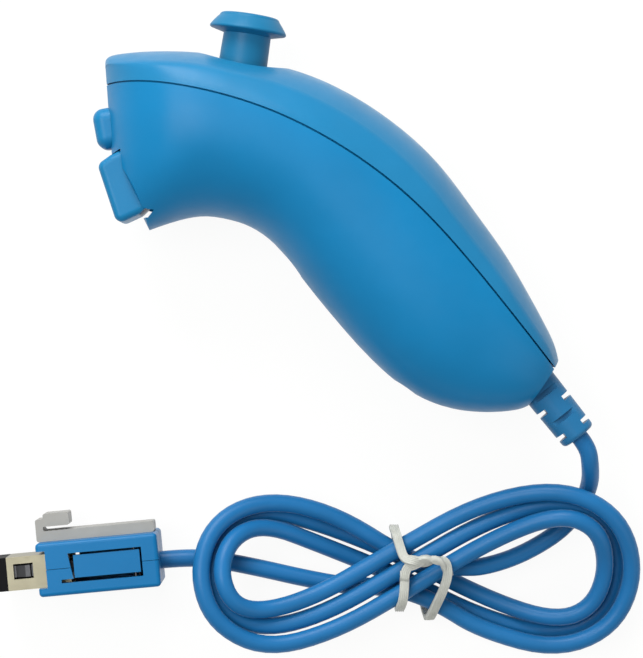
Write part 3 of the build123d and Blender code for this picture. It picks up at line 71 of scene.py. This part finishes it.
# Reach to the left and to the right of the waist, each with the rise of a loop's first and second
# half; a little wider than the tube's, because the spline cuts inside its points
HANK_SIDES = ((40.7, 24.5, 25.6), (46.3, 29.5, 29.2))
STEPS = 8  # of one loop
# The loops in turn: how far aside of its figure of eight the cord is at each step, and its height
HANK_ROWS = (
    ((-2.1, 7.25), (-3.2, 7.6), (-2.5, 9.6), (-2.4, 14.0),
     (-2.3, 17.9), (-2.7, 17.0), (-4.0, 14.0), (-4.2, 12.4)),
    ((-4.2, 11.5), (-4.0, 13.5), (-2.7, 17.0), (-2.4, 16.6),
     (-3.1, 10.5), (-3.1, 7.5), (-3.2, 6.8), (-3.3, 3.6)),
    ((-2.1, 3.1), (0.0, 3.3), (0.0, 5.5), (0.0, 9.9),
     (0.0, 14.0), (0.0, 13.1), (0.0, 12.0), (0.0, 11.7)),
    ((0.0, 11.5), (0.0, 11.9), (0.0, 13.4), (0.0, 12.6),
     (0.0, 6.9), (0.0, 3.8), (0.0, 3.1), (0.9, 3.1)),
    ((2.1, 3.1), (4.25, 4.4), (2.8, 9.2), (2.4, 14.0),
     (2.3, 17.9), (2.7, 17.0), (4.0, 14.0), (4.2, 12.4)),
    ((4.2, 11.5), (4.0, 13.5), (2.7, 17.2), (2.4, 17.0),
     (3.1, 10.5), (3.1, 7.5), (3.0, 7.2), (3.0, 7.25)),
)
HANK_IN = ((24.8, -71.2, 7.25), (20.6, -71.2, 7.25))
HANK_OUT = ((20.5, -79.0, 7.25), (13.0, -76.0, 7.25), (7.4, -75.35, 7.25), (3.2, -75.1, 7.25))
PLUG_LEAD_ROUTE = (
    (-1.0, -74.85, 7.25),
    (-9.0, -73.3, 7.6),
    (-17.5, -71.3, 8.2),
    (-26.4, -69.5, 8.9),
)
PLUG = Vector((-51.1, -69.9, 10.0))
PLUG_BACK = Vector((0.9957, 0.0925, 0)).normalized()
PLUG_ASIDE = Vector((-PLUG_BACK.y, PLUG_BACK.x, 0))
PLUG_LENGTH = 25.4
PLUG_CORD_SIDE = -0.7
PLUG_LEAD_END = 6.0

# Twist tie: a strip with lengthwise ridges on both faces and thinner edges
TIE_WIDE = 2.0
TIE_THICK = 1.1
TIE_RIDGE = 0.09
TIE_RIDGES = 5
TIE_EDGE = 0.14  # share of the half width
TIE_EDGE_LOSS = 0.75  # share of the thickness that the edge loses
TIE_PROFILE_STEPS = 16
TIE_MIDDLE = Vector((0, WAIST.y, 8.0))  # a point of the waist's middle line, which runs along x
# From the loose end through the twist, round the waist and up to the twist again
TIE_FIRST = (
    (22.0, -72.4, 14.2),
    (21.6, -70.4, 15.7),
    (19.4, -68.4, 16.8),
    (17.0, -69.8, 15.7),
    (14.8, -69.0, 16.9),
    (12.7, -69.0, 15.8),
    (11.8, -66.4, 15.0),
    (10.9, -63.3, 14.2),
    (10.5, -62.4, 10.5),
    (10.9, -63.0, 6.0),
    (11.6, -66.8, 0.9),
    (12.2, -71.5, 0.67),
    (12.4, -76.6, 0.9),
    (12.2, -79.8, 5.0),
    (11.6, -79.9, 11.2),
    (12.4, -78.2, 14.5),
    (12.8, -74.6, 15.2),
    (12.8, -71.4, 15.4),
)
# From the first band through the twist, down the right side and under the waist
TIE_SECOND = (
    (12.7, -73.4, 15.3),
    (12.9, -70.6, 15.9),
    (14.8, -70.2, 15.6),
    (17.0, -68.6, 17.0),
    (19.2, -69.5, 15.9),
    (21.2, -69.0, 16.2),
    (22.0, -72.0, 15.3),
    (20.9, -75.6, 14.0),
    (19.3, -79.2, 11.3),
    (18.2, -82.2, 7.2),
    (17.8, -81.4, 2.6),
    (17.0, -78.0, 0.7),
    (16.0, -73.6, 0.7),
)
# Angles of the strip's face along each band, in radians: 0 looks away from the waist's middle
TIE_INWARD = 3.14
TIE_FIRST_TURNS = (0.3, 1.8) + 7 * (TIE_INWARD,)
TIE_SECOND_TURNS = (0, 0.5, 2.0) + 4 * (TIE_INWARD,)

# Where most of a noise's values lie
NOISE_MIDDLE = (0.3, 0.7)

# Floor, with a glow that only the camera, reflections and clear pieces see, so that it looks white
FLOOR_HALF = 4.0
FLOOR_COLOUR = (0.58, 0.58, 0.57)
GLOW_COLOUR = (0.995, 0.995, 0.99)
GLOW_STRENGTH = 1.08
GLOW_SHARE = 0.86

# Square lamps: name, place, side and power in watts
LAMPS = (
    ("key", (-0.16, 0.62, 0.42), 0.50, 5.6),
    ("top", (-0.34, 0.08, 0.78), 0.45, 3.5),
    ("fill", (0.55, -0.35, 0.45), 0.50, 0.7),
)
LAMP_AIM = Vector((0, -0.02, 0.02))
ROOM_COLOUR = (0.95, 0.97, 1.0)
ROOM_STRENGTH = 0.42


def add_object(name, data):
    """New object in the scene."""
    piece = bpy.data.objects.new(name, data)
    bpy.context.collection.objects.link(piece)
    return piece


def place_camera():
    """Camera over the object, as in the photograph."""
    data = bpy.data.cameras.new("camera")
    data.sensor_width = SENSOR
    data.lens = SENSOR * VIEW_DISTANCE / VIEW_HEIGHT
    data.clip_start, data.clip_end = 0.05, 10
    camera = add_object("camera", data)
    camera.location = VIEW_CENTRE + Vector((0, 0, VIEW_DISTANCE))
    bpy.context.scene.camera = camera


# Cord

def curve_object(name, points, radius=0.0):
    """Smooth open curve with the given control points, as a tube where it has a radius."""
    data = bpy.data.curves.new(name, "CURVE")
    data.dimensions = "3D"
    spline = data.splines.new("NURBS")
    spline.points.add(len(points) - 1)
    for point, place in zip(spline.points, points):
        point.co = (*(Vector(place) * MM), 1)
        point.radius = radius * MM
    spline.order_u = CURVE_ORDER
    spline.use_endpoint_u = True
    spline.resolution_u = CURVE_STEPS
    data.bevel_depth = 1.0 if radius else 0.0  # times the radius of each point
    data.bevel_resolution = CURVE_STEPS
    data.use_fill_caps = radius > 0
    return add_object(name, data)


def hank_point(number):
    """Centre of the cord at one step of the hank, on a figure of eight round the waist."""
    loop, step = divmod(number, STEPS)
    reach, first_rise, second_rise = HANK_SIDES[loop % 2]
    rise = first_rise if 2 * step < STEPS else second_rise
    angle = pi + number * pi / STEPS
    aside, height = HANK_ROWS[loop][step]
    travel = Vector((reach * cos(angle), rise * cos(2 * angle), 0)).normalized()
    middle = WAIST + Vector((reach * sin(angle), rise * sin(angle) * cos(angle), height))
    return middle + Vector((0, 0, 1)).cross(travel) * aside


def make_cord():
    """The whole free cord: lead, hank and the lead to the plug."""
    relief_end = RELIEF_POINT + RELIEF_AXIS * RELIEF_LENGTH
    cord_exit = PLUG + PLUG_BACK * (PLUG_LENGTH / 2) + PLUG_ASIDE * PLUG_CORD_SIDE
    points = [relief_end, relief_end + RELIEF_AXIS * LEAD_START, *LEAD_ROUTE, *HANK_IN]
    points += [hank_point(number) for number in range(STEPS * len(HANK_ROWS))]
    points += [*HANK_OUT, *PLUG_LEAD_ROUTE, cord_exit + PLUG_BACK * PLUG_LEAD_END, cord_exit]
    piece = curve_object("cord", points, CORD / 2)
    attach(piece, "handle")
    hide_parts("cord_lead", "cord_hank", "cord_plug_lead")
    return piece


# Materials: scales are in features per metre, and depths of bumps in metres

def shader(name):
    """New material with its node tree, its main shader and its object coordinates."""
    material = bpy.data.materials.new(name)
    material.use_nodes = True
    tree = material.node_tree
    main = tree.nodes["Principled BSDF"]
    place = tree.nodes.new("ShaderNodeTexCoord").outputs["Object"]
    return material, tree, main, place


def noise(tree, place, scale, detail, rough=0.5, stretch=None):
    """Noise over the object, stretched along an axis where its coordinates are scaled."""
    if stretch:
        mapping = tree.nodes.new("ShaderNodeMapping")
        mapping.inputs["Scale"].default_value = stretch
        tree.links.new(place, mapping.inputs["Vector"])
        place = mapping.outputs["Vector"]
    texture = tree.nodes.new("ShaderNodeTexNoise")
    texture.inputs["Scale"].default_value = scale
    texture.inputs["Detail"].default_value = detail
    texture.inputs["Roughness"].default_value = rough
    tree.links.new(place, texture.inputs["Vector"])
    return texture.outputs["Fac"]


def spread(tree, value, low, high):
    """Stretches the middle of a noise over a range."""
    ramp = tree.nodes.new("ShaderNodeMapRange")
    ramp.inputs["From Min"].default_value, ramp.inputs["From Max"].default_value = NOISE_MIDDLE
    ramp.inputs["To Min"].default_value = low
    ramp.inputs["To Max"].default_value = high
    tree.links.new(value, ramp.inputs["Value"])
    return ramp.outputs["Result"]


def shade(colour, share):
    """The colour made darker or lighter by a share, with its alpha."""
    return (*[min(part * share, 1) for part in colour], 1)


def coloured(tree, main, value, colour, darkest=1.0, lightest=1.0):
    """Base colour that a noise varies between two shares of the given one."""
    mix = tree.nodes.new("ShaderNodeMix")
    mix.data_type = "RGBA"
    mix.inputs["A"].default_value = shade(colour, darkest)
    mix.inputs["B"].default_value = shade(colour, lightest)
    tree.links.new(spread(tree, value, 0, 1), mix.inputs["Factor"])
    tree.links.new(mix.outputs["Result"], main.inputs["Base Color"])


def glossed(tree, main, value, gloss):
    """Roughness that a noise varies between two values."""
    tree.links.new(spread(tree, value, *gloss), main.inputs["Roughness"])


def bumped(tree, main, value, depth, strength=1.0, before=None):
    """Bump on top of the one before it."""
    bump = tree.nodes.new("ShaderNodeBump")
    bump.inputs["Strength"].default_value = strength
    bump.inputs["Distance"].default_value = depth
    tree.links.new(value, bump.inputs["Height"])
    if before:
        tree.links.new(before, bump.inputs["Normal"])
    tree.links.new(bump.outputs["Normal"], main.inputs["Normal"])
    return bump.outputs["Normal"]


def plastic(name, colour, gloss=(0.34, 0.44), grain=9e-6, shine=0.22):
    """Moulded plastic with a fine spark-eroded grain, soft mottling and uneven gloss."""
    material, tree, main, place = shader(name)
    broad = noise(tree, place, scale=55, detail=4)
    coloured(tree, main, broad, colour, darkest=0.95, lightest=1.05)
    glossed(tree, main, noise(tree, place, scale=260, detail=5, rough=0.6), gloss)
    fine = bumped(tree, main, noise(tree, place, scale=5200, detail=2), depth=grain)
    waves = noise(tree, place, scale=120, detail=2)
    bumped(tree, main, waves, depth=2.2e-5, strength=0.5, before=fine)
    main.inputs["Specular IOR Level"].default_value = shine
    return material


def vinyl(name, colour, gloss=(0.32, 0.44)):
    """Soft vinyl: smooth, a little glossy, with faint scuffs."""
    material, tree, main, place = shader(name)
    broad = noise(tree, place, scale=90, detail=3)
    coloured(tree, main, broad, colour, darkest=0.92, lightest=1.07)
    glossed(tree, main, noise(tree, place, scale=700, detail=6, rough=0.65), gloss)
    scuffs = noise(tree, place, scale=1500, detail=4)
    bumped(tree, main, scuffs, depth=1.6e-5, strength=0.8)
    main.inputs["Specular IOR Level"].default_value = 0.25
    return material


def metal(name, colour, gloss=(0.2, 0.36)):
    """Plated sheet metal with fine drawing marks."""
    material, tree, main, place = shader(name)
    marks = noise(tree, place, scale=900, detail=6, rough=0.7, stretch=(1, 1, 12))
    glossed(tree, main, marks, gloss)
    coloured(tree, main, noise(tree, place, scale=300, detail=3), colour, darkest=0.86)
    bumped(tree, main, marks, depth=6e-6, strength=0.6)
    main.inputs["Metallic"].default_value = 1.0
    return material


def laminate(name, colour, copper):
    """Circuit board: green mask over faint square traces."""
    material, tree, main, place = shader(name)
    brick = tree.nodes.new("ShaderNodeTexBrick")
    brick.inputs["Scale"].default_value = 420
    brick.inputs["Mortar Size"].default_value = 0.06
    brick.inputs["Color1"].default_value = shade(colour, 1)
    brick.inputs["Color2"].default_value = shade(colour, 0.85)
    brick.inputs["Mortar"].default_value = shade(copper, 1)
    tree.links.new(place, brick.inputs["Vector"])
    tree.links.new(brick.outputs["Color"], main.inputs["Base Color"])
    glossed(tree, main, noise(tree, place, scale=800, detail=3), (0.3, 0.5))
    bumped(tree, main, brick.outputs["Fac"], depth=2e-5, strength=0.5)
    return material


def clear_plastic(name, colour):
    """Frosted clear plastic with cloudy patches."""
    material, tree, main, place = shader(name)
    cloud = noise(tree, place, scale=160, detail=3, stretch=(1, 1, 0.5))
    coloured(tree, main, cloud, colour, lightest=1.12)
    glossed(tree, main, noise(tree, place, scale=600, detail=3), (0.38, 0.5))
    bumped(tree, main, noise(tree, place, scale=150, detail=1), depth=1e-5, strength=0.3)
    main.inputs["Transmission Weight"].default_value = 0.15
    main.inputs["IOR"].default_value = 1.46
    return material


def tie_plastic(name, colour):
    """Off-white strip, a little dirty in patches."""
    material, tree, main, place = shader(name)
    dirt = noise(tree, place, scale=480, detail=5, rough=0.6)
    coloured(tree, main, dirt, colour, darkest=0.82)
    glossed(tree, main, noise(tree, place, scale=1100, detail=3), (0.4, 0.6))
    bumped(tree, main, noise(tree, place, scale=2400, detail=3), depth=3e-5, strength=0.7)
    main.inputs["Subsurface Weight"].default_value = 0.1
    main.inputs["Subsurface Radius"].default_value = (0.001, 0.001, 0.0008)
    return material


def make_materials():
    """Material of each slot."""
    return {
        "body_plastic": plastic("body_plastic", (0.004, 0.188, 0.412)),
        # Upper shell: more red than the lower shell's colour, a painted whitish sheen; the blue is
        # the shell's own
        "upper_plastic": plastic("upper_plastic", (0.013, 0.192, 0.392), gloss=(0.28, 0.38)),
        "stick_plastic": plastic("stick_plastic", (0.009, 0.168, 0.335), gloss=(0.36, 0.48),
                                 grain=1.4e-5),
        "button_plastic": plastic("button_plastic", (0.007, 0.178, 0.375), gloss=(0.32, 0.42)),
        "plug_plastic": plastic("plug_plastic", (0.003, 0.146, 0.355), gloss=(0.30, 0.42)),
        "relief_vinyl": vinyl("relief_vinyl", (0.016, 0.150, 0.325)),
        "cord_vinyl": vinyl("cord_vinyl", (0.012, 0.150, 0.372)),
        "clear_plastic": clear_plastic("clear_plastic", (0.36, 0.352, 0.322)),
        "tie_plastic": tie_plastic("tie_plastic", (0.58, 0.59, 0.53)),
        "shroud_steel": metal("shroud_steel", (0.34, 0.315, 0.225), gloss=(0.3, 0.45)),
        "steel": metal("steel", (0.11, 0.11, 0.115), gloss=(0.35, 0.5)),
        "contact_metal": metal("contact_metal", (0.80, 0.58, 0.24)),
        "black_plastic": plastic("black_plastic", (0.004, 0.004, 0.005), gloss=(0.5, 0.6),
                                 shine=0.1),
        "grey_plastic": plastic("grey_plastic", (0.10, 0.10, 0.11), gloss=(0.4, 0.52)),
        "white_plastic": plastic("white_plastic", (0.72, 0.71, 0.66), gloss=(0.38, 0.5)),
        "dome_rubber": vinyl("dome_rubber", (0.10, 0.10, 0.105), gloss=(0.5, 0.65)),
        "board_laminate": laminate("board_laminate", (0.012, 0.13, 0.05), (0.03, 0.22, 0.10)),
        "wire_insulation": vinyl("wire_insulation", (0.42, 0.03, 0.025)),
    }


def dress(materials, cord):
    """Gives every CAD node the material of its slot, and the cord its own."""
    slots = {part["node"]: part["material_slot"] for part in frame["record"]["subparts"]}
    for name, piece in frame["nodes"].items():
        piece.data.materials.clear()
        piece.data.materials.append(materials[slots[name]])
    cord.data.materials.append(materials["cord_vinyl"])


# Twist tie

def route_points(points):
    """Points along a smooth open curve with the given control points, in metres."""
    helper = curve_object("helper", points)
    mesh = bpy.data.meshes.new_from_object(helper)
    places = [vertex.co.copy() for vertex in mesh.vertices]
    data = helper.data
    bpy.data.objects.remove(helper)
    bpy.data.curves.remove(data)
    bpy.data.meshes.remove(mesh)
    return places


def strip_profile():
    """Cross-section of the strip: points across and up."""
    top = []
    for step in range(TIE_PROFILE_STEPS + 1):
        across = 2 * step / TIE_PROFILE_STEPS - 1
        edge = max(abs(across) - (1 - TIE_EDGE), 0) / TIE_EDGE
        up = TIE_THICK / 2 + TIE_RIDGE * cos(TIE_RIDGES * pi * across)
        top.append((across * TIE_WIDE / 2, up * (1 - TIE_EDGE_LOSS * edge**2)))
    bottom = [(across, -up) for across, up in reversed(top)]
    return top + bottom


def ribbon(name, points, turns, material):
    """Strip along the points; its face turns from one angle to the next along it."""
    places = route_points(points)
    profile = strip_profile()
    vertices, faces = [], []
    last = len(places) - 1
    for number, place in enumerate(places):
        tangent = (places[min(number + 1, last)] - places[max(number - 1, 0)]).normalized()
        outward = place - TIE_MIDDLE * MM
        outward.x = 0
        outward = (outward - tangent * outward.dot(tangent)).normalized()
        share = number / last * (len(turns) - 1)
        step = min(int(share), len(turns) - 2)
        angle = turns[step] + (turns[step + 1] - turns[step]) * (share - step)
        face = Matrix.Rotation(angle, 3, tangent) @ outward
        across = tangent.cross(face)
        vertices += [place + (across * x + face * y) * MM for x, y in profile]
    ring = len(profile)
    for row in range(last):
        for column in range(ring):
            after = (column + 1) % ring
            faces.append((row * ring + column, row * ring + after,
                          (row + 1) * ring + after, (row + 1) * ring + column))
    faces.append(tuple(reversed(range(ring))))
    faces.append(tuple(range(last * ring, (last + 1) * ring)))
    mesh = bpy.data.meshes.new(name)
    mesh.from_pydata(vertices, [], faces)
    mesh.polygons.foreach_set("use_smooth", [True] * len(faces))
    mesh.materials.append(material)
    piece = add_object(name, mesh)
    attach(piece, "handle")
    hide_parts("twist_tie")


def make_tie(material):
    """Two bands round the waist, with the twist between them on top."""
    ribbon("tie_first_band", TIE_FIRST, TIE_FIRST_TURNS, material)
    ribbon("tie_second_band", TIE_SECOND, TIE_SECOND_TURNS, material)


# Floor and light

def make_floor():
    """Plain pale table, wide enough for every view."""
    half = FLOOR_HALF
    corners = [(-half, -half, 0), (half, -half, 0), (half, half, 0), (-half, half, 0)]
    mesh = bpy.data.meshes.new("floor")
    mesh.from_pydata(corners, [], [(0, 1, 2, 3)])
    material, tree, main, _ = shader("floor_paint")
    main.inputs["Base Color"].default_value = (*FLOOR_COLOUR, 1)
    main.inputs["Roughness"].default_value = 0.9
    main.inputs["Specular IOR Level"].default_value = 0.1
    glow = tree.nodes.new("ShaderNodeEmission")
    glow.inputs["Color"].default_value = (*GLOW_COLOUR, 1)
    glow.inputs["Strength"].default_value = GLOW_STRENGTH
    rays = tree.nodes.new("ShaderNodeLightPath")
    seen = rays.outputs["Is Camera Ray"]
    for kind in ("Is Glossy Ray", "Is Transmission Ray"):
        either = tree.nodes.new("ShaderNodeMath")
        either.operation = "MAXIMUM"
        tree.links.new(seen, either.inputs[0])
        tree.links.new(rays.outputs[kind], either.inputs[1])
        seen = either.outputs["Value"]
    share = tree.nodes.new("ShaderNodeMath")
    share.operation = "MULTIPLY"
    share.inputs[1].default_value = GLOW_SHARE
    tree.links.new(seen, share.inputs[0])
    blend = tree.nodes.new("ShaderNodeMixShader")
    tree.links.new(share.outputs["Value"], blend.inputs["Fac"])
    tree.links.new(main.outputs["BSDF"], blend.inputs[1])
    tree.links.new(glow.outputs["Emission"], blend.inputs[2])
    tree.links.new(blend.outputs["Shader"], tree.nodes["Material Output"].inputs["Surface"])
    mesh.materials.append(material)
    add_object("floor", mesh)


def make_light():
    """Large lamp past the thumb side, weaker ones over the left and the right, and a pale room."""
    for name, place, side, power in LAMPS:
        data = bpy.data.lights.new(name, "AREA")
        data.size = side
        data.energy = power
        lamp = add_object(name, data)
        lamp.location = place
        lamp.rotation_mode = "QUATERNION"
        lamp.rotation_quaternion = (LAMP_AIM - lamp.location).to_track_quat("-Z", "Y")
    room = bpy.data.worlds.new("room")
    room.use_nodes = True
    room.node_tree.nodes["Background"].inputs["Color"].default_value = (*ROOM_COLOUR, 1)
    room.node_tree.nodes["Background"].inputs["Strength"].default_value = ROOM_STRENGTH
    bpy.context.scene.world = room
    bpy.context.scene.view_settings.view_transform = "Standard"


place_camera()
cord = make_cord()
materials = make_materials()
dress(materials, cord)
make_tie(materials["tie_plastic"])
make_floor()
make_light()
